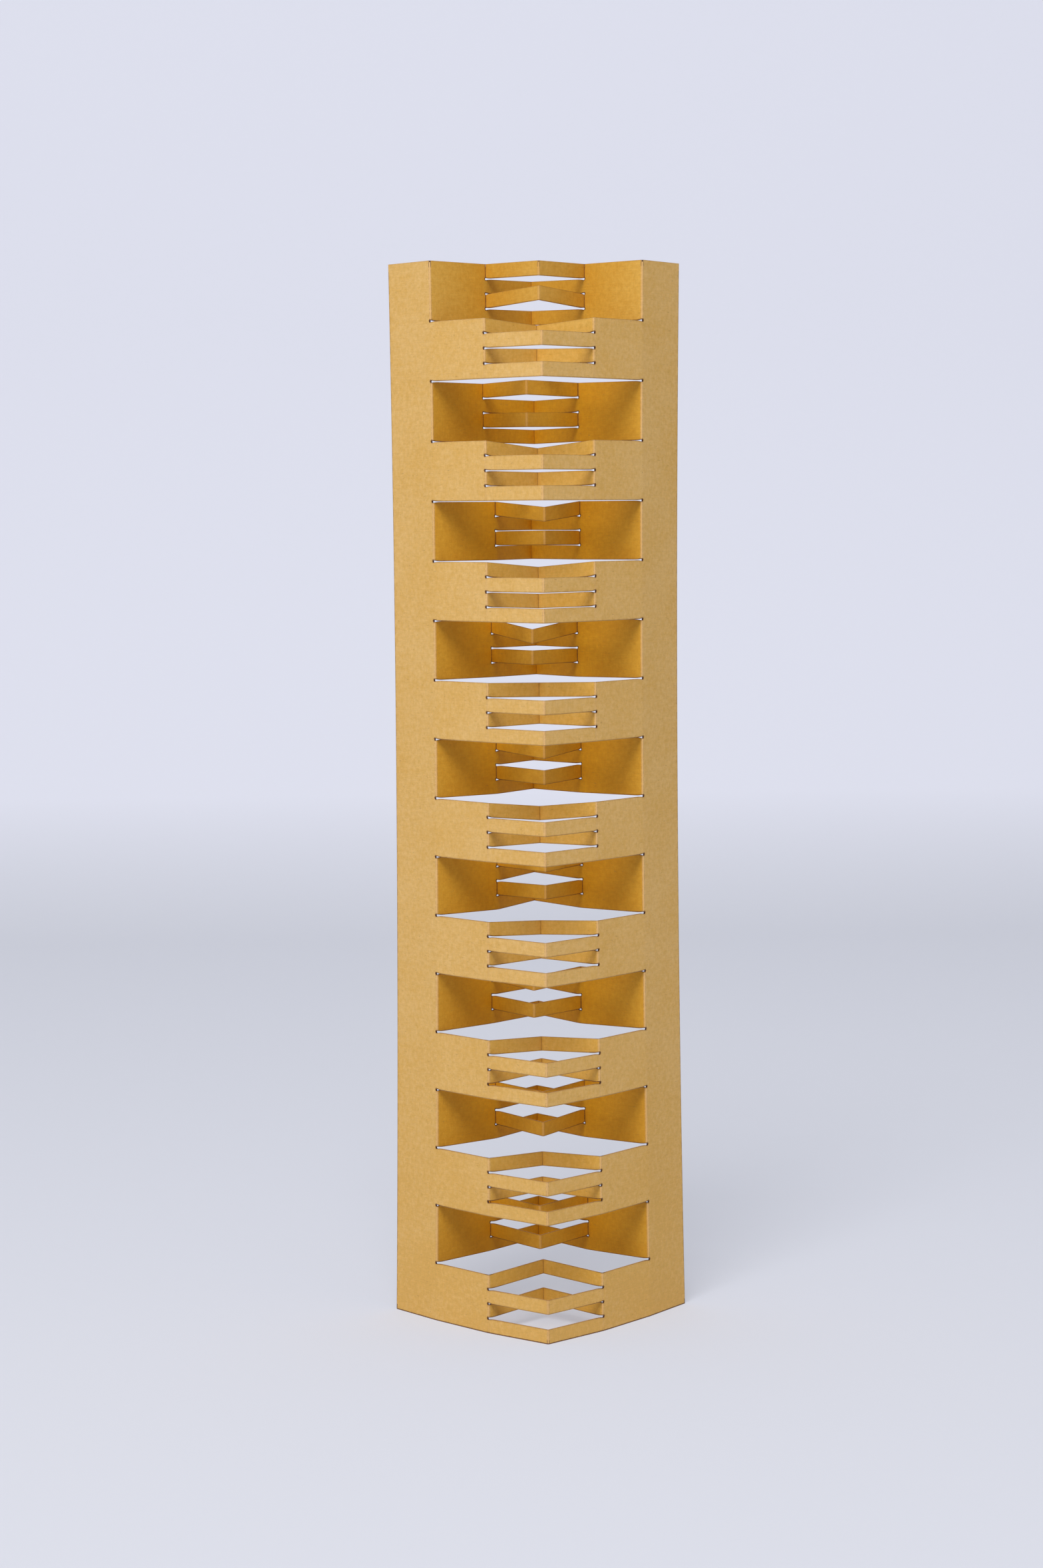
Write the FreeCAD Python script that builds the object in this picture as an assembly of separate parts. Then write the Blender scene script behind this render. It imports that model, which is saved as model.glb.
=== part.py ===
# Folded kirigami tower: one sheet of card, slit across in rows and folded down its centre.
# Frame: millimetres, +Z up, front ridge towards -Y, standing on its bottom edge at z = 0,
# origin at the centre of the footprint.

import FreeCAD, Part
import math
import os

NODE_NAME = "folded_card"

# Driving dimensions. Reaches are measured along the card from its centre crease, and angles
# are degrees in plan: the half opening at the crease, then the turns at the two folds beyond.
SIZES = {
    "sheetHeight": 297.0,
    "sheetWidth": 115.0,
    "cardThickness": 0.4,
    "slitWidth": 0.6,
    "slitMiddle": 0.3,
    "bandPairs": 9,
    "wideReach": 40.4,
    "narrowReach": 20.2,
    "slitOverrun": 0.3,
    "footHalfAngle": 52.3,
    "waistHalfAngle": 47.5,
    "topHalfAngle": 47.7,
    "footInnerAngle": 7.3,
    "waistInnerAngle": 3.5,
    "topInnerAngle": 2.4,
    "outerAngle": 4.2,
}

# What the hand left uneven, one value for each pair of bands from the top down.
# Angles are degrees at the inner fold of a recess wall, sags are millimetres that the
# middle fold of a strip hangs below its ends.
UNEVEN = {
    "recessAngleLeft": [9, -2, 28, 12, 25, 25, 8, 18, 5],
    "recessAngleRight": [4, 23, 15, 28, 16, 15, 26, 17, 12],
    "recessSagUpper": [0.2, -0.3, 1.6, 2.3, 1.3, 0.0, 0.4, 0.0, 0.0],
    "recessSagLower": [-1.35, 0.35, -0.2, -0.1, 0.25, -0.6, -0.2, 0.45, 0.2],
    "recessSagCrease": [-0.45, 0.2, -0.05, 0.1, 0.2, -0.3, 0.1, 0.15, -0.1],
    "frontSagUpper": [1.3, 1.9, 1.65, 0.8, 2.35, 1.55, 1.45, 1.2, -1.0],
    "frontSagLower": [-0.6, 0.25, 0.85, 0.05, 0.5, 0.05, -0.6, 0.1, -1.15],
}

STRIPS_PER_BAND = 4
STRIPS_PER_PAIR = 2 * STRIPS_PER_BAND

doc = FreeCAD.newDocument("FoldedTower")
sheet = doc.addObject("Spreadsheet::Sheet", "Sizes")


def fill_sheet():
    rows = list(SIZES.items())
    for name, values in UNEVEN.items():
        rows += [(f"{name}{pair + 1}", value) for pair, value in enumerate(values)]
    for row, (name, value) in enumerate(rows, start=1):
        sheet.set(f"A{row}", name)
        sheet.set(f"B{row}", str(value))
        sheet.setAlias(f"B{row}", name)
    doc.recompute()


def size(name):
    return float(getattr(sheet, name))


def uneven(name, pair):
    return size(f"{name}{pair % len(UNEVEN[name]) + 1}")


def along_height(name, z):
    # The parabola through the values at the foot, the waist and the top.
    foot, waist, top = (size(place + name) for place in ("foot", "waist", "top"))
    t = 2 * z / size("sheetHeight") - 1
    return waist + t * (top - foot) / 2 + t * t * ((top + foot) / 2 - waist)


def step(start, heading, length):
    # A walk in plan; the heading is measured from straight back, positive to the right.
    angle = math.radians(heading)
    return start + FreeCAD.Vector(math.sin(angle), math.cos(angle), 0) * length


def wing_points(z, side):
    # Front crease to wing edge on one side: inner fold, outer fold, edge.
    heading = along_height("HalfAngle", z)
    inner = step(FreeCAD.Vector(0, 0, 0), side * heading, size("narrowReach"))
    heading -= along_height("InnerAngle", z)
    outer = step(inner, side * heading, size("wideReach") - size("narrowReach"))
    heading -= size("outerAngle")
    edge = step(outer, side * heading, size("sheetWidth") / 2 - size("wideReach"))
    return inner, outer, edge


def back_corner(left, left_length, right, right_length):
    # Where two straight lengths from the outer folds meet behind the tower.
    span = right - left
    gap = span.Length
    run = (left_length ** 2 - right_length ** 2 + gap ** 2) / (2 * gap)
    rise = math.sqrt(left_length ** 2 - run ** 2)
    ahead = span / gap
    return left + ahead * run + FreeCAD.Vector(-ahead.y, ahead.x, 0) * rise


def recess_points(outer_left, outer_right, pair):
    # Each recess wall is two lengths of card that may bend at the inner fold.
    near = size("wideReach") - size("narrowReach")
    far = size("narrowReach")
    bends = [math.radians(uneven("recessAngle" + name, pair)) for name in ("Left", "Right")]
    chords = [math.sqrt(near ** 2 + far ** 2 + 2 * near * far * math.cos(bend)) for bend in bends]
    valley = back_corner(outer_left, chords[0], outer_right, chords[1])
    inner = []
    for side, outer, bend, chord in zip((-1, 1), (outer_left, outer_right), bends, chords):
        to_valley = valley - outer
        heading = math.degrees(math.atan2(to_valley.x, to_valley.y))
        lean = math.degrees(math.asin(far * math.sin(bend) / chord))
        inner.append(step(outer, heading - side * lean, near))
    return inner, valley


def fold_line(z, strip):
    # The card's middle line in plan at height z, from left edge to right edge. Each end of
    # a slit adds a point just outside its fold, where the uncut card begins.
    pair, place = divmod(strip, STRIPS_PER_PAIR)
    (left_inner, left_outer, left_edge), (right_inner, right_outer, right_edge) = (
        wing_points(z, side) for side in (-1, 1))
    crease = FreeCAD.Vector(0, 0, 0)
    popped = place % 2 == 0
    if place < STRIPS_PER_BAND:
        (left_inner, right_inner), crease = recess_points(left_outer, right_outer, pair)
    middle = left_inner + right_inner - crease if popped else crease
    overrun = size("slitOverrun")

    def before(fold, previous):
        return fold + (previous - fold).normalize() * overrun

    left = [left_edge, before(left_outer, left_edge), left_outer,
            before(left_inner, left_outer), left_inner]
    right = [right_inner, before(right_inner, right_outer), right_outer,
             before(right_outer, right_edge), right_edge]
    return left + [middle] + right


def sag(strip):
    pair, place = divmod(strip, STRIPS_PER_PAIR)
    band, row = divmod(place, STRIPS_PER_BAND)
    if row % 2:
        return 0.0 if band else uneven("recessSagCrease", pair)
    return uneven(("recess", "front")[band] + "Sag" + ("Upper", "Lower")[row // 2], pair)


def closing(slit):
    # How far a slit's edge comes in at each point of the fold line, from its ends to the crease.
    reach = size("narrowReach") if slit % STRIPS_PER_BAND else size("wideReach")
    half_line = [size("sheetWidth") / 2] + [size("wideReach")] * 2 + [size("narrowReach")] * 2
    most = (size("slitWidth") - size("slitMiddle")) / 2
    return [most * max(0.0, 1 - along / reach) for along in half_line + [0.0] + half_line[::-1]]


def card_faces_at(z, strip, lift):
    # Both faces of the card along the fold line, mitred at every fold and lifted point by point.
    line = fold_line(z, strip)
    half = size("cardThickness") / 2
    normals = []
    for start, end in zip(line, line[1:]):
        ahead = (end - start).normalize()
        normals.append(FreeCAD.Vector(-ahead.y, ahead.x, 0))
    normals = [normals[0]] + normals + [normals[-1]]
    back, front = [], []
    for index, point in enumerate(line):
        before, after = normals[index], normals[index + 1]
        mitre = (before + after) * (half / (1 + before.dot(after)))
        drop = sag(strip) if index == len(line) // 2 else 0.0
        place = FreeCAD.Vector(point.x, point.y, z + lift[index] - drop)
        back.append(place + mitre)
        front.append(place - mitre)
    return back, front


def patch(a, b, c, d):
    # A four-sided face: flat where its corners are level, otherwise ruled.
    if max(p.z for p in (a, b, c, d)) - min(p.z for p in (a, b, c, d)) < 1e-9:
        return Part.Face(Part.makePolygon([a, b, c, d, a]))
    return Part.makeRuledSurface(Part.makeLine(a, b), Part.makeLine(d, c))


def walls(lower, upper, panels):
    # The back and front faces of one layer of card, and the ends that it leaves.
    faces = []
    for first, last in panels:
        for low, high in zip(lower, upper):
            faces += [patch(low[i], low[i + 1], high[i + 1], high[i]) for i in range(first, last)]
        for i in (first, last):
            faces.append(patch(lower[0][i], lower[1][i], upper[1][i], upper[0][i]))
    return faces


def cut_edge(level, panels):
    # The card's thickness seen from above or below, between the two ends of a slit.
    back, front = level
    return [patch(back[i], back[i + 1], front[i + 1], front[i])
            for first, last in panels for i in range(first, last)]


def folded_card():
    count = int(size("bandPairs")) * STRIPS_PER_PAIR
    pitch = size("sheetHeight") / count
    half_slit = size("slitWidth") / 2
    last_panel = len(fold_line(0, 0)) - 1
    level = [0.0] * (last_panel + 1)
    whole = [(0, last_panel)]
    kept = {"wide": 1, "narrow": 3}
    faces = []
    above = None
    for strip in range(count):
        top = size("sheetHeight") - strip * pitch - (half_slit if strip else 0)
        bottom = size("sheetHeight") - (strip + 1) * pitch + (half_slit if strip < count - 1 else 0)
        rise = closing(strip) if strip else level
        fall = closing(strip + 1) if strip < count - 1 else level
        upper = card_faces_at(top, strip, rise)
        lower = card_faces_at(bottom, strip, [-r for r in fall])
        faces += walls(lower, upper, whole)
        if above is None:
            faces += cut_edge(upper, whole)
        else:
            kind = "narrow" if strip % STRIPS_PER_BAND else "wide"
            uncut = kept[kind]
            slit = [(uncut, last_panel - uncut)]
            faces += cut_edge(above, slit) + cut_edge(upper, slit)
            faces += walls(upper, above, [(0, uncut), (last_panel - uncut, last_panel)])
        above = lower
    faces += cut_edge(above, whole)
    skin = Part.makeCompound(faces)
    skin.sewShape()
    solid = Part.Solid(skin.Shells[0])
    if solid.Volume < 0:
        solid.reverse()
    return solid


fill_sheet()
card = doc.addObject("Part::Feature", NODE_NAME)
card.Label = NODE_NAME
card.Shape = folded_card()
box = card.Shape.BoundBox
card.Placement = FreeCAD.Placement(FreeCAD.Vector(-box.Center.x, -box.Center.y, 0), FreeCAD.Rotation())
doc.recompute()

for item in doc.Objects:
    if "Invalid" in item.State or "Error" in item.State:
        raise RuntimeError(f"{item.Label} failed: {item.State}")
if card.Shape.isNull() or not card.Shape.isValid() or len(card.Shape.Solids) != 1:
    raise RuntimeError("the folded card isn't one valid solid")

os.makedirs("parts", exist_ok=True)
card.Shape.exportStep(f"parts/{card.Label}.step")
box = card.Shape.BoundBox
print(f"{card.Label}: volume {card.Shape.Volume:.1f} mm3, faces {len(card.Shape.Faces)}")
print(f"x {box.XMin:.2f} to {box.XMax:.2f}, y {box.YMin:.2f} to {box.YMax:.2f}, "
      f"z {box.ZMin:.2f} to {box.ZMax:.2f}")
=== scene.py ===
# Folded kirigami tower: one sheet of golden-tan card, slit in rows and folded down its centre.
import math
import bpy
import numpy as np
from mathutils import Matrix, Vector


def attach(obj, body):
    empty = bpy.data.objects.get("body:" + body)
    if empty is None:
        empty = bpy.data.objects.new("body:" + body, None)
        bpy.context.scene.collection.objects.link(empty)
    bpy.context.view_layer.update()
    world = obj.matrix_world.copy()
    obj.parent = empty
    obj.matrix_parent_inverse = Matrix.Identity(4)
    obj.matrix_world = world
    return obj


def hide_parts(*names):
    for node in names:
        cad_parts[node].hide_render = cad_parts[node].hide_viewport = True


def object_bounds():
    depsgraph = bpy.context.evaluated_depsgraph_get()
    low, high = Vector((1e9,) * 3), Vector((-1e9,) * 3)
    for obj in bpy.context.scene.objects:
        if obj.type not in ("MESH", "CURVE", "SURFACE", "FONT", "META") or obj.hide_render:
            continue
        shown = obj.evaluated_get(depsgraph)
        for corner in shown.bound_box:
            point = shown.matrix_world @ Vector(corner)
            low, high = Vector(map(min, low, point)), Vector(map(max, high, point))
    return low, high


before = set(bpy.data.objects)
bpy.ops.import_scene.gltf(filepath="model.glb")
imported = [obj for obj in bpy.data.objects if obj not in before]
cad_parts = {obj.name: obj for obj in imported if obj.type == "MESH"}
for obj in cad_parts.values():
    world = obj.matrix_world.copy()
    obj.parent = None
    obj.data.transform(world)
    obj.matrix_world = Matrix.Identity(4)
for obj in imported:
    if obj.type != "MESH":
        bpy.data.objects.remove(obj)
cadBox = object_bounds()
print("frame loaded")

millimetre = 0.001
cadLow, cadHigh = (np.array(corner) / millimetre for corner in cadBox)

# The sheet, in millimetres and degrees; a reach is measured along the card from its crease.
sheet = {
    "width": 115.0,
    "thickness": 0.4,
    "slitEnd": 0.6,  # the burnt dot at each end of a slit
    "kerf": 0.13,  # the rest of the slit
    "dotReach": 0.95,  # how far the dot narrows into the kerf
    "dotBell": 1.5,  # the power in the bell-shaped curve that it follows
    "dotRows": (-0.7, 0, 0.7),  # rows of the grid over the dot, in halves of its width
    "bandPairs": 9,
    "bandStrips": 4,  # in a recess band, and in the front band below it
    "wideReach": 40.4,
    "narrowReach": 20.2,
    "halfAngle": (52.3, 47.5, 47.7),  # foot, waist, top
    "innerBend": (7.3, 3.5, 2.4),
    "outerBend": 4.2,
    # what the hand left uneven, one value for each pair of bands from the top down
    "recessBend": ([9, -2, 28, 12, 25, 25, 8, 18, 5], [4, 23, 15, 28, 16, 15, 26, 17, 12]),
    "recessSag": ([0.2, -0.3, 1.6, 2.3, 1.3, 0.0, 0.4, 0.0, 0.0],
                  [-1.35, 0.35, -0.2, -0.1, 0.25, -0.6, -0.2, 0.45, 0.2]),
    "frontSag": ([1.3, 1.9, 1.65, 0.8, 2.35, 1.55, 1.45, 1.2, -1.0],
                 [-0.6, 0.25, 0.85, 0.05, 0.5, 0.05, -0.6, 0.1, -1.15]),
    "creaseSag": [-0.45, 0.2, -0.05, 0.1, 0.2, -0.3, 0.1, 0.15, -0.1],
    # how far a fold is rounded to each side, and a bend that was never scored
    "foldRound": 0.27,
    "bendRound": 1.6,
    # nicks in the top edge where a scored fold reaches it: width and depth
    "nickHalf": 0.1,
    "nickDepth": {"middle": 0.4, "inner": 0.8, "outer": 0.45},
    "sharpAngle": 40.0,  # faces that meet more steeply than this show a sharp edge
}
# how a fold is scored in a recess band and in a front band, for a plain strip and for one that
# pops out: above 0 for a ridge seen from the front, below 0 for a valley, where it also sets the painted
# shade
scoring = {
    "middle": {"plain": (-0.55, 1.0), "popped": (0.7, -0.55)},
    "inner": {"plain": (0.0, 0.3), "popped": (-1.0, 0.9)},
    "outer": {"plain": (1.0, 0.0), "popped": (1.0, 0.0)},
}
# painted shade in the cover that folds give: how softly it starts, how far it deepens, and its share
# in the top recess, which is open above
shadeSpread = {"edge": 0.3, "deepening": 18.0, "top": 0.66}
sheet["height"] = cadHigh[2] - cadLow[2]
sheet["pairStrips"] = 2 * sheet["bandStrips"]
sheet["strips"] = sheet["pairStrips"] * sheet["bandPairs"]
sheet["pitch"] = sheet["height"] / sheet["strips"]


def alongHeight(name, z):
    # the parabola through the values at the foot, the waist and the top
    foot, waist, top = sheet[name]
    t = 2 * z / sheet["height"] - 1
    return waist + t * (top - foot) / 2 + t * t * ((top + foot) / 2 - waist)


def heading(degrees, side):
    # a direction in plan, turned from straight back towards one side
    angle = np.radians(degrees)
    return np.stack([side * np.sin(angle), np.cos(angle)], axis=-1)


def foldPoints(strip, z):
    # plan places of the seven fold lines at height z: edge, outer, inner, middle and back again
    pair, place = np.divmod(strip, sheet["pairStrips"])
    near = sheet["wideReach"] - sheet["narrowReach"]
    far = sheet["narrowReach"]
    wing = sheet["width"] / 2 - sheet["wideReach"]
    opening = alongHeight("halfAngle", z)
    bend = alongHeight("innerBend", z)
    inner, outer, edge = {}, {}, {}
    for side in (-1, 1):
        inner[side] = far * heading(opening, side)
        outer[side] = inner[side] + near * heading(opening - bend, side)
        edge[side] = outer[side] + wing * heading(opening - bend - sheet["outerBend"], side)
    # behind a recess the two walls meet where their chords from the outer folds cross
    bends, chord = {}, {}
    for side, angles in zip((-1, 1), sheet["recessBend"]):
        bends[side] = np.radians(np.array(angles, float))[pair]
        chord[side] = np.sqrt(near ** 2 + far ** 2 + 2 * near * far * np.cos(bends[side]))
    span = outer[1] - outer[-1]
    gap = np.hypot(span[:, 0], span[:, 1])
    run = (chord[-1] ** 2 - chord[1] ** 2 + gap ** 2) / (2 * gap)
    rise = np.sqrt(chord[-1] ** 2 - run ** 2)
    ahead = span / gap[:, None]
    valley = outer[-1] + ahead * run[:, None] + np.stack([-ahead[:, 1], ahead[:, 0]], -1) * rise[:, None]
    wall = {}
    for side in (-1, 1):
        toValley = valley - outer[side]
        course = np.arctan2(side * toValley[:, 0], toValley[:, 1])
        lean = np.arcsin(far * np.sin(bends[side]) / chord[side])
        wall[side] = outer[side] + near * heading(np.degrees(course - lean), side)
    recess = (place < sheet["bandStrips"])[:, None]
    left = np.where(recess, wall[-1], inner[-1])
    right = np.where(recess, wall[1], inner[1])
    crease = np.where(recess, valley, 0.0)
    middle = np.where((place % 2 == 0)[:, None], left + right - crease, crease)
    return np.stack([edge[-1], outer[-1], left, middle, right, outer[1], edge[1]], axis=1)


def cardPath(strip, z, u):
    # where the card's middle surface runs: straight between folds, each fold a short parabola
    places = foldPoints(strip, z)
    narrow, wide, half = sheet["narrowReach"], sheet["wideReach"], sheet["width"] / 2
    marks = np.array([-half, -wide, -narrow, 0.0, narrow, wide, half])
    legs = np.diff(places, axis=1) / np.diff(marks)[None, :, None]
    leg = np.clip(np.searchsorted(marks, u, side="right") - 1, 0, 5)
    rows = np.arange(len(strip))[:, None]
    point = places[rows, leg] + legs[rows, leg] * (u - marks[leg])[..., None]
    tangent = legs[rows, leg].copy()
    popped = (strip % 2 == 0)[:, None]
    for fold in range(1, 6):
        before, after = legs[:, fold - 1][:, None], legs[:, fold][:, None]
        scored = popped if fold in (2, 4) else True  # an inner fold, only where the strip pops out
        reach = np.where(scored, sheet["foldRound"], sheet["bendRound"]) * np.ones_like(u)
        s = u - marks[fold]
        t = np.clip((s + reach) / (2 * reach), 0, 1)[..., None]
        fromBefore = (1 - t) ** 2 * reach[..., None] * before
        toAfter = t ** 2 * reach[..., None] * after
        curve = places[:, fold][:, None] - fromBefore + toAfter
        inside = (np.abs(s) < reach)[..., None]
        point = np.where(inside, curve, point)
        tangent = np.where(inside, (1 - t) * before + t * after, tangent)
    pair, place = np.divmod(strip, sheet["pairStrips"])
    band, row = np.divmod(place, sheet["bandStrips"])
    sags = np.array([sheet["recessSag"], sheet["frontSag"]])
    crease = np.where(band == 0, np.array(sheet["creaseSag"])[pair], 0.0)
    sag = np.where(row % 2 == 0, sags[band, row // 2, pair], crease)
    drop = sag[:, None] * np.clip(1 - np.abs(u) / narrow, 0, 1)
    return point, tangent, drop


def sheetRows():
    # every row of the grid from the foot up: its height, the strips below and above it and how
    # far it is from one to the other, its slit, the slit it closes towards and in which direction
    pitch, half, strips = sheet["pitch"], sheet["slitEnd"] / 2, sheet["strips"]
    rows = []
    for level in range(strips):
        strip = strips - 1 - level
        low = level * pitch + (half if level else 0)
        high = (level + 1) * pitch - (half if strip else 0)
        rows.append((low, strip, strip, 0, 0, strip + 1, -1 if level else 0))
        rows.append(((low + high) / 2, strip, strip, 0, 0, strip, 0))
        if strip == 0:
            rows += [(high - depth, 0, 0, 0, 0, 0, 0) for depth in sorted(sheet["nickDepth"].values())[::-1]]
        rows.append((high, strip, strip, 0, 0, strip, 1 if strip else 0))
        if strip:
            for across in sheet["dotRows"]:
                share = (1 + across) / 2
                rows.append((high + half * (1 + across), strip, strip - 1, share, strip, strip, 0))
    height, lower, upper, share, slit, near, close = np.array(rows).T
    return height, lower.astype(int), upper.astype(int), share, slit.astype(int), near.astype(int), close


def sheetColumns():
    # columns for the right half, in millimetres from the crease: close together at folds and slit
    # ends, wide apart between them; the left half mirrors them
    fold, bend = sheet["foldRound"], sheet["bendRound"]
    narrow, wide, half = sheet["narrowReach"], sheet["wideReach"], sheet["width"] / 2
    turn = np.array([0, sheet["nickHalf"], fold, fold + 0.05])
    slitEnd = np.array([-2.2, -bend, -1.2, -0.9, -0.6, -0.4])
    fan = np.concatenate([slitEnd, -turn[:0:-1], turn, [0.45, 0.8]])
    right = np.concatenate([turn, [1, 4, 8, 12, 16], narrow + fan, [narrow + bend, 25, 30, 35],
                            wide + fan, [44, 49, 54, half]])
    return np.concatenate([-right[:0:-1], right])


def slitReach(number):
    # how far a slit runs to each side of the centre fold: every fourth one is wide
    return np.where(number % sheet["bandStrips"] == 0, sheet["wideReach"], sheet["narrowReach"])


def cardMesh():
    # The sheet is one grid of rows and columns in its flat state. A slit leaves out the cells
    # between its ends, and its end columns move out onto a half circle.
    height, lower, upper, share, slit, near, close = sheetRows()
    columns = sheetColumns()
    half = sheet["slitEnd"] / 2
    inSlit = slit > 0
    line = sheet["height"] - slit * sheet["pitch"]
    bulge = np.where(inSlit, np.sqrt(np.clip(half ** 2 - (height - line) ** 2, 0, None)), 0.0)
    past = np.abs(columns)[None, :] - slitReach(slit)[:, None]
    isPast = past > -1e-6  # the slit's last column too
    fade = np.clip(1 - past / (2 * half), 0, 1) * isPast
    u = columns[None, :] + np.sign(columns)[None, :] * bulge[:, None] * fade

    ends = [cardPath(strip, height, u) for strip in (lower, upper)]
    blend = share[:, None, None]
    point = (1 - blend) * ends[0][0] + blend * ends[1][0]
    tangent = (1 - blend) * ends[0][1] + blend * ends[1][1]
    drop = (1 - share[:, None]) * ends[0][2] + share[:, None] * ends[1][2]
    normal = np.stack([-tangent[..., 1], tangent[..., 0]], -1)
    normal /= np.linalg.norm(normal, axis=-1, keepdims=True)
    # a slit's edges close in from the dot at its end to the kerf, along a bell-shaped curve
    depth = np.clip(slitReach(near)[:, None] - np.abs(u), 0, None)
    inward = (half - sheet["kerf"] / 2) * (1 - np.exp(-(depth / sheet["dotReach"]) ** sheet["dotBell"]))
    z = height[:, None] + close[:, None] * inward - drop
    faces = []
    for side in (1, -1):
        plan = point + side * normal * sheet["thickness"] / 2
        faces.append(np.concatenate([plan, z[..., None]], -1))
    back, front = faces

    middle = np.abs(columns[:-1] + columns[1:])[None, :] / 2
    rowSlit = np.maximum(slit[:-1], slit[1:])[:, None]
    kept = ~((rowSlit > 0) & (middle < slitReach(rowSlit)))
    fromTop = (sheet["height"] - (height[:-1] + height[1:]) / 2)[:, None]
    for fold, place in (("middle", 0.0), ("inner", sheet["narrowReach"]), ("outer", sheet["wideReach"])):
        kept &= ~((np.abs(middle - place) < sheet["nickHalf"]) & (fromTop < sheet["nickDepth"][fold]))
    return height, lower, u, back, front, kept


def gridFaces(kept, shape):
    # front and back cells, and a wall wherever a kept cell meets a missing one
    rows, cols = shape
    number = np.arange(rows * cols).reshape(rows, cols)
    i, j = np.nonzero(kept)
    quad = np.stack([number[i, j], number[i, j + 1], number[i + 1, j + 1], number[i + 1, j]], -1)
    frontShift = rows * cols
    padded = np.pad(kept, 1).astype(int)
    across = np.diff(padded[:, 1:-1], axis=0)
    upright = np.diff(padded[1:-1], axis=1)
    walls = []
    for change, ordered in ((1, 1), (-1, -1)):
        i, j = np.nonzero(across == change)
        walls.append(np.stack([number[i, j], number[i, j + 1]], -1)[:, ::ordered])
        i, j = np.nonzero(upright == change)
        walls.append(np.stack([number[i, j], number[i + 1, j]], -1)[:, ::-ordered])
    wall = np.concatenate(walls)
    wallQuad = np.stack([wall[:, 0], wall[:, 1], wall[:, 1] + frontShift, wall[:, 0] + frontShift], -1)
    return np.concatenate([quad[:, ::-1], quad + frontShift, wallQuad]), 2 * len(quad)


def creaseWeight(strip, u):
    # the scoring of the nearest fold: each takes the card up to halfway to the next
    place = strip % sheet["pairStrips"]
    recess = (place < sheet["bandStrips"])[:, None]
    popped = (place % 2 == 0)[:, None]
    weight = {}
    for fold, kinds in scoring.items():
        plain, pop = (np.where(recess, *kinds[kind]) for kind in ("plain", "popped"))
        weight[fold] = np.where(popped, pop, plain)
    off = np.abs(u)
    nearer = np.where(off > sheet["narrowReach"] / 2, weight["inner"], weight["middle"])
    return np.where(off > (sheet["narrowReach"] + sheet["wideReach"]) / 2, weight["outer"], nearer)


def paintedShadeDepth(strip, u):
    # how deep among the folds a place lies, on the front face and on the back face, which sets the painted
    # shade and bounce light there: 0 is open, 1 is a strip folded back between open ones, 2 to 3 a recess
    # from its outer fold inwards
    place = strip % sheet["pairStrips"]
    recess = (place < sheet["bandStrips"])[:, None]
    popped = (place % 2 == 0)[:, None]
    within, narrow = (np.clip((sheet[reach] - np.abs(u)) / shadeSpread["edge"], 0, 1)
                      for reach in ("wideReach", "narrowReach"))
    share = np.clip((sheet["wideReach"] - np.abs(u)) / shadeSpread["deepening"], 0, 1)
    share = np.where(popped, np.minimum(share, np.abs(u) / sheet["narrowReach"]), share)
    deep = within * (2 + share)
    shut = np.where(strip < sheet["bandStrips"], shadeSpread["top"], 1.0)[:, None]
    front = np.where(recess, deep * shut, np.where(popped, narrow, 0.0))
    back = np.where(recess, np.where(popped, narrow, 0.0), deep)
    return front, back


def buildCard():
    # both faces of the grid and the walls between them, moved so that its front meets the CAD box's,
    # with the flat sheet's own places, scoring and depth among the folds for the painted shade kept at every
    # point
    height, strip, u, back, front, kept = cardMesh()
    faces, flatCount = gridFaces(kept, u.shape)
    points = np.concatenate([back.reshape(-1, 3), front.reshape(-1, 3)])
    points[:, 1] += -front[..., 1].min() + cadLow[1]
    flat = np.stack([u, np.repeat(height[:, None], u.shape[1], 1)], -1).reshape(-1, 2)
    flat = np.concatenate([np.column_stack([flat, np.full(len(flat), side)]) for side in (-1.0, 1.0)])
    crease = creaseWeight(strip, u)
    # the depth among the folds on each face, which sets the painted shade there
    inFront, behind = paintedShadeDepth(strip, u)
    mark = np.concatenate([np.stack([crease, inside], -1).reshape(-1, 2) for inside in (behind, inFront)])

    used = np.unique(faces)
    renumber = np.full(len(points), -1)
    renumber[used] = np.arange(len(used))
    faces = renumber[faces]
    mesh = bpy.data.meshes.new("foldedSheet")
    mesh.from_pydata((points[used] * millimetre).tolist(), [], faces.tolist())
    for name, kind, values in (("flat", "FLOAT_VECTOR", flat), ("mark", "FLOAT2", mark)):
        layer = mesh.attributes.new(name, kind, "POINT")
        layer.data.foreach_set("vector", values[used].astype(np.float32).ravel())
    surface = np.zeros(len(faces), np.int32)
    surface[flatCount:] = 1
    mesh.polygons.foreach_set("material_index", surface)
    mesh.shade_smooth()
    mesh.set_sharp_from_angle(angle=math.radians(sheet["sharpAngle"]))
    piece = bpy.data.objects.new("foldedSheet", mesh)
    bpy.context.scene.collection.objects.link(piece)
    return piece


class Signal:
    # one shader socket; arithmetic on it adds Math nodes
    def __init__(self, board, socket):
        self.board = board
        self.socket = socket

    def math(self, operation, *others, clamp=False):
        return self.board.add("ShaderNodeMath", {"operation": operation, "use_clamp": clamp}, self, *others)

    def __add__(self, other):
        return self.math("ADD", other)

    def __sub__(self, other):
        return self.math("SUBTRACT", other)

    def __rsub__(self, other):
        return self.board.add("ShaderNodeMath", {"operation": "SUBTRACT"}, other, self)

    def __mul__(self, other):
        return self.math("MULTIPLY", other)

    def __truediv__(self, other):
        return self.math("DIVIDE", other)

    def limit(self):
        # held between 0 and 1
        return self.math("MAXIMUM", 0.0, clamp=True)

    __radd__ = __add__
    __rmul__ = __mul__


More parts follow.
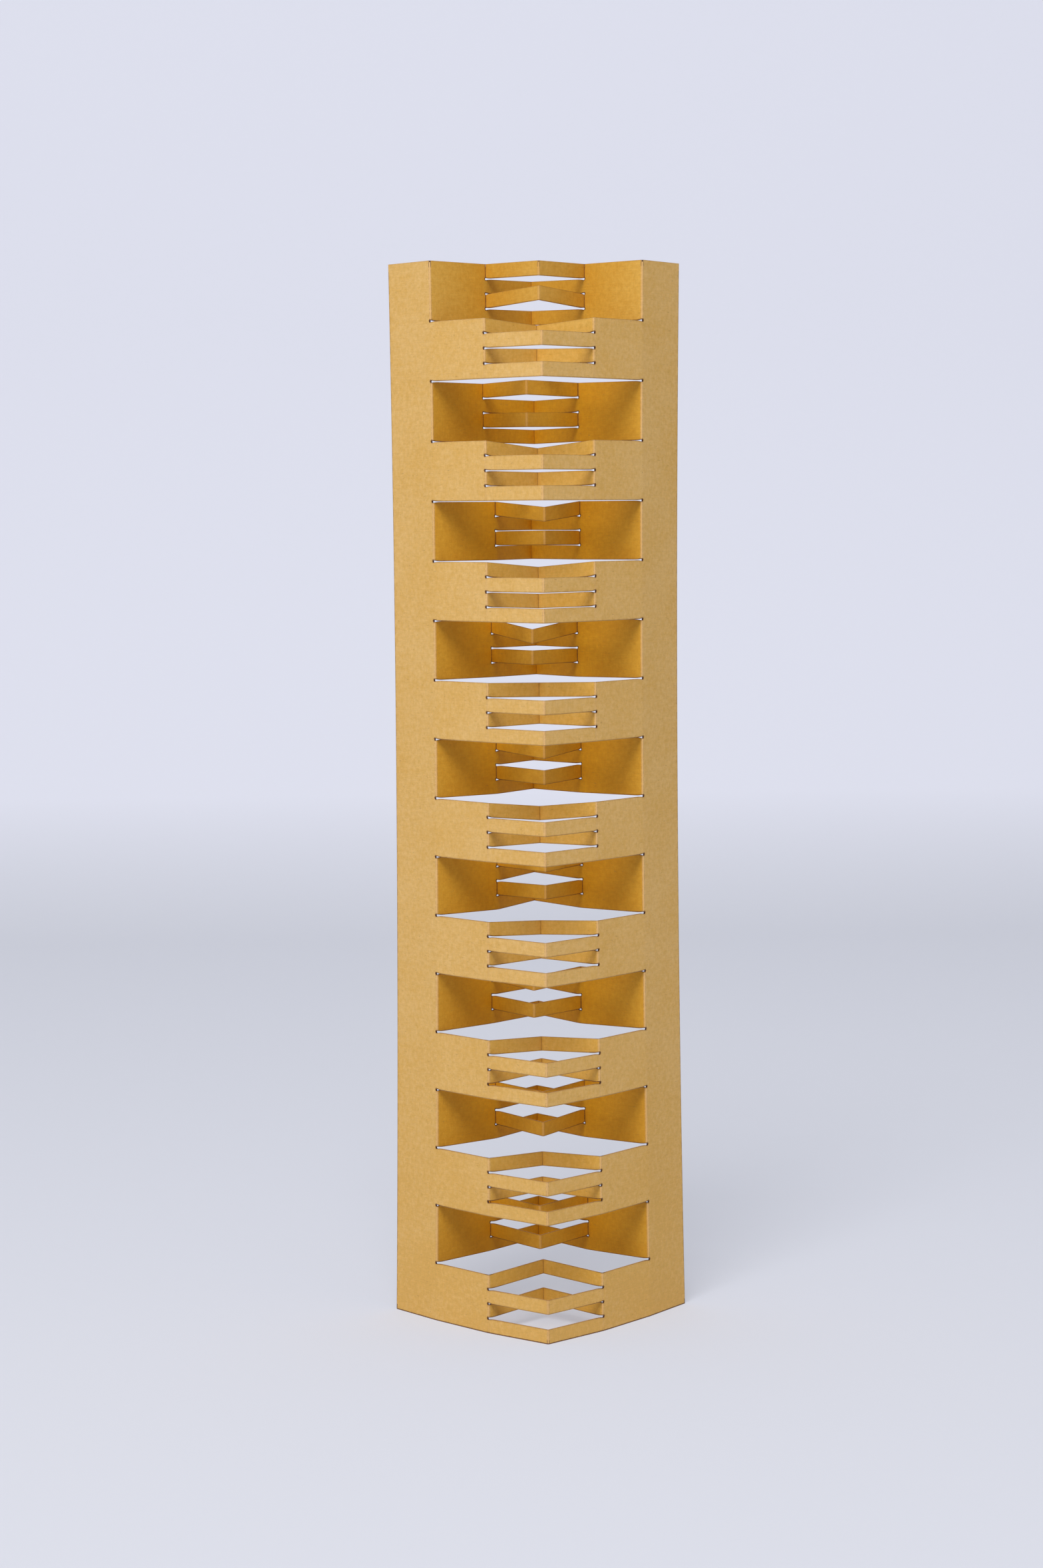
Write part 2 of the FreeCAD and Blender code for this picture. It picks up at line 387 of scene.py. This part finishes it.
class Board:
    # the node tree of a material or world, with one way to add any node
    def __init__(self, owner):
        self.owner = owner
        owner.use_nodes = True
        self.tree = owner.node_tree
        self.tree.nodes.clear()

    def add(self, kind, settings=None, *values, out=0, **named):
        node = self.tree.nodes.new(kind)
        for key, value in (settings or {}).items():
            setattr(node, key, value)
        for key, value in list(enumerate(values)) + list(named.items()):
            slot = node.inputs[key if isinstance(key, int) else key.replace("_", " ")]
            if isinstance(value, Signal):
                self.tree.links.new(value.socket, slot)
            elif value is not None:
                slot.default_value = value
        return Signal(self, node.outputs[out]) if node.outputs else node

    def mix(self, factor, first, second, blend="MIX"):
        # a Mix node has its factor and colours at inputs 0, 6 and 7, and its colour at output 2
        node = self.tree.nodes.new("ShaderNodeMix")
        node.data_type = "RGBA"
        node.blend_type = blend
        for slot, value in zip((node.inputs[0], node.inputs[6], node.inputs[7]), (factor, first, second)):
            if isinstance(value, Signal):
                self.tree.links.new(value.socket, slot)
            else:
                slot.default_value = (*value, 1) if isinstance(value, tuple) else value
        return Signal(self, node.outputs[2])

    def split(self, vector):
        node = self.tree.nodes.new("ShaderNodeSeparateXYZ")
        self.tree.links.new(vector.socket, node.inputs[0])
        return [Signal(self, output) for output in node.outputs]

    def finish(self, **sockets):
        shader = self.add("ShaderNodeBsdfPrincipled", None, **sockets)
        self.add("ShaderNodeOutputMaterial", None, Surface=shader)
        return self.owner

    def seen(self):
        # 1 where the camera sees a surface directly, in a mirror or through glass
        rays = [self.add("ShaderNodeLightPath", None, out=name)
                for name in ("Is Camera Ray", "Is Glossy Ray", "Is Transmission Ray")]
        return rays[0].math("MAXIMUM", rays[1]).math("MAXIMUM", rays[2])


def makeCardFinish():
    # colour and relief at each place (u, v) of the flat sheet: noise in layers makes the card, painted shade
    # deepens it in recesses, along valley folds and towards the foot, and the distances to the nearest fold
    # and to the nearest cut make the marks on it
    look = {
        "deepTan": (0.690, 0.396, 0.096),
        "paleTan": (0.740, 0.462, 0.158),
        # painted shade and bounce light: what the card's colour is multiplied by, from the open faces to the
        # depth of a recess
        "shadeTints": ((1.0, 1.0, 1.0), (0.99, 0.94, 0.60), (0.88, 0.73, 0.19), (0.97, 0.76, 0.055)),
        "fleck": (0.330, 0.170, 0.050),
        "burnt": (0.120, 0.042, 0.015),
        "scorched": (0.420, 0.190, 0.045),
        "ridgeLine": (0.690, 0.410, 0.250),
        # painted warm shade along valley folds
        "valleyShade": (0.620, 0.250, 0.010),
        "valleyLine": (0.170, 0.060, 0.012),
        # painted shade towards the foot: the height where it fades out, and how deep it gets
        "footHeight": 90.0,
        "footShadeDepth": 0.45,
        "flecks": 0.35,
        "roughness": 0.68,
        "gloss": 0.35,
        "relief": 0.4,
        "reliefDepth": 0.12 * millimetre,
        # how strongly each layer of noise shows in the mottling, in the shade and in the relief
        "mottle": {"blotch": 2.1, "cloud": 1.2},
        "shade": {"grain": 0.20, "across": 0.16, "up": 0.13, "blotch": 0.10},
        "bumps": {"grain": 0.5, "across": 0.5, "up": 0.4, "ridge": 0.8, "valley": 1.2},
    }
    mottle, shades, bumps = look["mottle"], look["shade"], look["bumps"]
    # how much of each mark along a scored fold shows, glow being the painted shade in a valley, and how far
    # off the dotted lines run
    score = {"bruise": 0.24, "dotted": 0.45, "glow": 0.3, "plain": 0.6, "dots": 0.25, "off": 0.24}
    # burnt lines along the cuts and a dark line at the foot, in millimetres of card: what is burnt above a
    # slit, below it, round its ends and at the sheet's border, how much wider the dark line is up to
    # footBand at its foot, and the brown haze beyond; from a slit's end the lines fade over the length fade
    # down to their least strength, and where the sheet ends there is no slit, so it counts as far away
    burn = {"above": 0.23, "below": 0.11, "end": 0.14, "border": 0.04, "ragged": 0.20, "haze": 0.55,
            "foot": 0.16, "footBand": 1.5, "fade": 8.0, "least": 0.5, "hazeShare": 0.45, "share": 0.9,
            "away": 9.0}
    board = Board(bpy.data.materials.new("tanCard"))
    flat = board.add("ShaderNodeAttribute", {"attribute_name": "flat"}, out="Vector")
    u, v, side = board.split(flat)
    # the scoring of the nearest fold, and the depth among the folds, which sets the painted shade
    mark = board.add("ShaderNodeAttribute", {"attribute_name": "mark"}, out="Vector")
    crease, inside, _ = board.split(mark)
    # a ridge seen from the front is a valley from the back
    crease = crease * side
    ridge = crease.math("MAXIMUM", 0.0)
    valley = (crease * -1).math("MAXIMUM", 0.0)

    def noise(scale, detail, stretch=(1, 1, 1), rough=0.5):
        # noise about 0, with scale waves to the millimetre, drawn closer by stretch along u and v
        spread = board.add("ShaderNodeVectorMath", {"operation": "MULTIPLY"}, flat, stretch)
        value = board.add("ShaderNodeTexNoise", None, spread, out="Fac", Scale=scale, Detail=detail,
                          Roughness=rough)
        return value - 0.5

    cloud = noise(0.06, 2)
    blotch = noise(0.8, 3, rough=0.6)
    grain = noise(2.2, 3, rough=0.6)
    fibreAcross = noise(1.0, 2, (0.35, 2.8, 1))
    fibreUp = noise(1.0, 2, (2.8, 0.35, 1))
    # painted shade: the card is a little darker and deeper in colour towards its foot, where the light falls
    # off
    footShadeRamp = (1 - v / look["footHeight"]).math("MAXIMUM", 0.0)
    tone = blotch * mottle["blotch"] + cloud * mottle["cloud"] - footShadeRamp * look["footShadeDepth"]
    tone = (tone + 0.5).limit()
    colour = board.mix(tone, look["deepTan"], look["paleTan"])
    # painted shade and warm bounce light: the colour is multiplied by tints that deepen with the depth among
    # the folds
    shadeMultiplier = look["shadeTints"][0]
    for start, deeper in enumerate(look["shadeTints"][1:]):
        shadeMultiplier = board.mix((inside - start).limit(), shadeMultiplier, deeper)
    colour = board.mix(1.0, colour, shadeMultiplier, "MULTIPLY")
    shade = grain * shades["grain"] + fibreAcross * shades["across"] + fibreUp * shades["up"]
    shade = shade + blotch * shades["blotch"] + 1
    colour = board.add("ShaderNodeVectorMath", {"operation": "SCALE"}, colour, Scale=shade)
    flecks = ((noise(1.3, 1, (0.6, 2.0, 1)) - 0.21) * 14).limit()
    colour = board.mix(flecks * look["flecks"], colour, look["fleck"])

    # scored folds: a pale bruised ridge with a dotted line down each side, or a dark line in a valley with
    # painted warm shade about it; each mark falls off with the distance to the fold, and its factor says how
    # steeply, per millimetre
    off = u.math("ABSOLUTE")
    toInner = (off - sheet["narrowReach"]).math("ABSOLUTE")
    toOuter = (off - sheet["wideReach"]).math("ABSOLUTE")
    toFold = off.math("MINIMUM", toInner).math("MINIMUM", toOuter)
    down = sheet["height"] - v
    dots = ((noise(2.4, 0) + 0.06) * 9).limit()
    bruise = ((0.45 - toFold) * 5).limit()
    doubleLine = (1 - (toFold - score["off"]).math("ABSOLUTE") * 9).limit()
    singleLine = (4.1 - toFold * 10).limit()
    glow = (1 - toFold * 0.7).limit()
    notched = ((1.9 - down.math("MINIMUM", v + 0.6)) * 3).limit()
    colour = board.mix(ridge * bruise * score["bruise"], colour, look["ridgeLine"])
    colour = board.mix(ridge * doubleLine * dots * score["dotted"], colour, look["fleck"])
    # painted warm shade along each valley fold, fading out over about 1.4 mm
    colour = board.mix(valley * glow * score["glow"], colour, look["valleyShade"])
    scored = valley * singleLine * (dots * score["dots"] + score["plain"])
    colour = board.mix(scored, colour, look["valleyLine"])
    colour = board.mix(ridge * doubleLine * notched, colour, look["burnt"])

    # the nearest cut: slits one pitch apart, every fourth a wide one, and the sheet's own edge
    number = (down / sheet["pitch"]).math("ROUND")
    below = down - number * sheet["pitch"]
    isWide = number.math("MODULO", sheet["bandStrips"]).math("LESS_THAN", 0.5)
    reach = isWide * (sheet["wideReach"] - sheet["narrowReach"]) + sheet["narrowReach"]
    past = (off - reach).math("MAXIMUM", 0.0)
    fromHalf = (number - sheet["strips"] / 2).math("ABSOLUTE")
    noSlit = fromHalf.math("GREATER_THAN", sheet["strips"] / 2 - 0.5)
    toSlit = (past * past + below * below).math("SQRT") - sheet["slitEnd"] / 2 + noSlit * burn["away"]
    toBorder = (sheet["width"] / 2 - off).math("MINIMUM", down).math("MINIMUM", v) + burn["border"]
    toCut = toSlit.math("MINIMUM", toBorder)
    isAbove = below.math("LESS_THAN", 0.0)
    roundEnd = (past * 4).math("MINIMUM", 1.0) * burn["end"] * (1 - noSlit)
    width = isAbove * (burn["above"] - burn["below"]) + roundEnd
    atFoot = v.math("LESS_THAN", burn["footBand"])
    width = width + noise(1.1, 2) * burn["ragged"] + burn["below"] + atFoot * burn["foot"]
    char = ((width - toCut) * 12).limit()
    haze = (1 - toCut / burn["haze"]).limit()
    # the beam stood still at the ends of a slit, so they are burnt darkest; the sheet's foot is darkest too
    nearEnd = (1 - (off - reach).math("ABSOLUTE") / burn["fade"]).math("MAXIMUM", atFoot)
    burnShare = nearEnd * (1 - burn["least"]) + burn["least"]
    colour = board.mix(haze * haze * burn["hazeShare"] * burnShare, colour, look["scorched"])
    colour = board.mix(char * burn["share"] * burnShare, colour, look["burnt"])
    # relief: the fibres stand up, and the scored lines are pressed in
    height = grain * bumps["grain"] + fibreAcross * bumps["across"] + fibreUp * bumps["up"]
    height = height - ridge * doubleLine * bumps["ridge"] - valley * singleLine * bumps["valley"]
    bump = board.add("ShaderNodeBump", None, Strength=look["relief"], Distance=look["reliefDepth"],
                     Height=height)
    return board.finish(Base_Color=colour, Roughness=look["roughness"], Normal=bump,
                        Specular_IOR_Level=look["gloss"])


def makeEdgeFinish():
    # brown and pale patches of noise, turning dark by the distance to the nearest slit end
    look = {"dark": (0.060, 0.024, 0.014), "brown": (0.330, 0.165, 0.055), "pale": (0.480, 0.270, 0.100),
            "roughness": 0.9, "gloss": 0.2}
    board = Board(bpy.data.materials.new("burntEdge"))
    flat = board.add("ShaderNodeAttribute", {"attribute_name": "flat"}, out="Vector")
    patches = board.add("ShaderNodeTexNoise", None, flat, out="Fac", Scale=1.2, Detail=3.0)
    colour = board.mix(((patches - 0.42) * 4).limit(), look["brown"], look["pale"])
    off = board.split(flat)[0].math("ABSOLUTE")
    toInner, toOuter = ((off - sheet[reach]).math("ABSOLUTE") for reach in ("narrowReach", "wideReach"))
    toEnd = toInner.math("MINIMUM", toOuter)
    colour = board.mix((1.3 - toEnd * 0.6).limit(), colour, look["dark"])
    return board.finish(Base_Color=colour, Roughness=look["roughness"], Specular_IOR_Level=look["gloss"])


card = buildCard()
card.data.materials.append(makeCardFinish())
card.data.materials.append(makeEdgeFinish())
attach(card, "root")
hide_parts("folded_card")
print("card made:", len(card.data.polygons), "faces")


def buildStage():
    # floor and backdrop as one sheet: level, then a quarter circle up into an upright wall; the
    # camera sees its own colours mixed in, the floor's changing to the wall's over the height change
    room = {"front": -2.5, "bend": 0.75, "radius": 0.35, "top": 3.2, "half": 3.0, "steps": 25,
            "paper": (0.64, 0.65, 0.71),
            "floor": {"shown": (0.700, 0.720, 0.800), "evenness": 0.4},
            "wall": {"shown": (0.858, 0.873, 0.998), "evenness": 0.6}, "change": 0.06}
    turn = np.linspace(0, math.pi / 2, room["steps"])
    curve = room["bend"] + room["radius"] * np.sin(turn)
    y = np.concatenate([[room["front"]], curve, curve[-1:]])
    z = np.concatenate([[0], room["radius"] * (1 - np.cos(turn)), [room["top"]]])
    x = np.array([-room["half"], room["half"]])
    grid = np.stack([np.tile(x, len(y)), np.repeat(y, 2), np.repeat(z, 2)], -1)
    index = np.arange(len(y) - 1) * 2
    mesh = bpy.data.meshes.new("paperSweep")
    mesh.from_pydata(grid.tolist(), [], np.stack([index, index + 1, index + 3, index + 2], -1).tolist())
    mesh.shade_smooth()
    board = Board(bpy.data.materials.new("sweepPaper"))
    rise = board.split(board.add("ShaderNodeTexCoord", None, out="Object"))[2]
    rise = (rise / room["change"]).limit()
    floor, wall = room["floor"], room["wall"]
    shown = board.mix(rise, floor["shown"], wall["shown"])
    paper = board.add("ShaderNodeBsdfDiffuse", None, Color=(*room["paper"], 1))
    glow = board.add("ShaderNodeEmission", None, Color=shown)
    evenness = rise * (wall["evenness"] - floor["evenness"]) + floor["evenness"]
    shader = board.add("ShaderNodeMixShader", None, board.seen() * evenness, paper, glow)
    board.add("ShaderNodeOutputMaterial", None, Surface=shader)
    mesh.materials.append(board.owner)
    sweep = bpy.data.objects.new("paperSweep", mesh)
    bpy.context.scene.collection.objects.link(sweep)


def addLamp(name, place, aim, size, power, colour):
    # an oblong lamp at a place, its back turned away from the point it aims at
    data = bpy.data.lights.new(name, "AREA")
    data.shape = "RECTANGLE"
    data.size, data.size_y = size
    data.energy = power
    data.color = colour
    lamp = bpy.data.objects.new(name, data)
    lamp.location = place
    lamp.rotation_euler = (Vector(aim) - Vector(place)).to_track_quat("-Z", "Y").to_euler()
    bpy.context.scene.collection.objects.link(lamp)


def buildLight():
    # places as degrees round from the front and up, and metres from the middle of the tower
    lights = {
        "key": {"round": -18, "up": 52, "away": 1.6, "size": (0.8, 0.8), "power": 21.2,
                "colour": (1.0, 0.985, 0.96)},
        "top": {"round": 0, "up": 88, "away": 1.9, "size": (1.6, 1.6), "power": 6,
                "colour": (0.96, 0.98, 1.0)},
    }
    middle = Vector((0, 0, 0.15))
    for name, lamp in lights.items():
        turn, rise = math.radians(lamp["round"]), math.radians(lamp["up"])
        way = Vector((math.sin(turn) * math.cos(rise), -math.cos(turn) * math.cos(rise), math.sin(rise)))
        addLamp(name, middle + way * lamp["away"], middle, lamp["size"], lamp["power"], lamp["colour"])
    # the room's own light, and what the camera sees past the sweep's edge
    air = {"colour": (0.88, 0.92, 1.0, 1), "light": 0.42, "shown": 0.78}
    world = bpy.data.worlds.new("room")
    bpy.context.scene.world = world
    board = Board(world)
    strength = board.seen() * (air["shown"] - air["light"]) + air["light"]
    background = board.add("ShaderNodeBackground", None, Color=air["colour"], Strength=strength)
    board.add("ShaderNodeOutputWorld", None, Surface=background)


def buildCamera():
    # metres and degrees, worked out from the folds' places in the photograph: level and facing
    # back, rolled about its line of sight, tipped down, turned about the upright and then placed
    view = {"place": (-0.0407, -0.8229, 0.2275), "turn": -2.48, "tilt": 5.22, "roll": -0.417,
            "lens": 67.89, "film": 36}
    data = bpy.data.cameras.new("camera")
    data.sensor_fit = "VERTICAL"
    data.sensor_height = view["film"]
    data.lens = view["lens"]
    camera = bpy.data.objects.new("camera", data)
    turn = Matrix.Rotation(math.radians(view["turn"]), 4, "Z")
    tilt = Matrix.Rotation(math.radians(90 - view["tilt"]), 4, "X")
    roll = Matrix.Rotation(math.radians(view["roll"]), 4, "Z")
    camera.matrix_world = Matrix.Translation(view["place"]) @ turn @ tilt @ roll
    bpy.context.scene.collection.objects.link(camera)
    bpy.context.scene.camera = camera


buildStage()
buildLight()
buildCamera()
bpy.context.scene.view_settings.view_transform = "Standard"
print("stage, light and camera made")
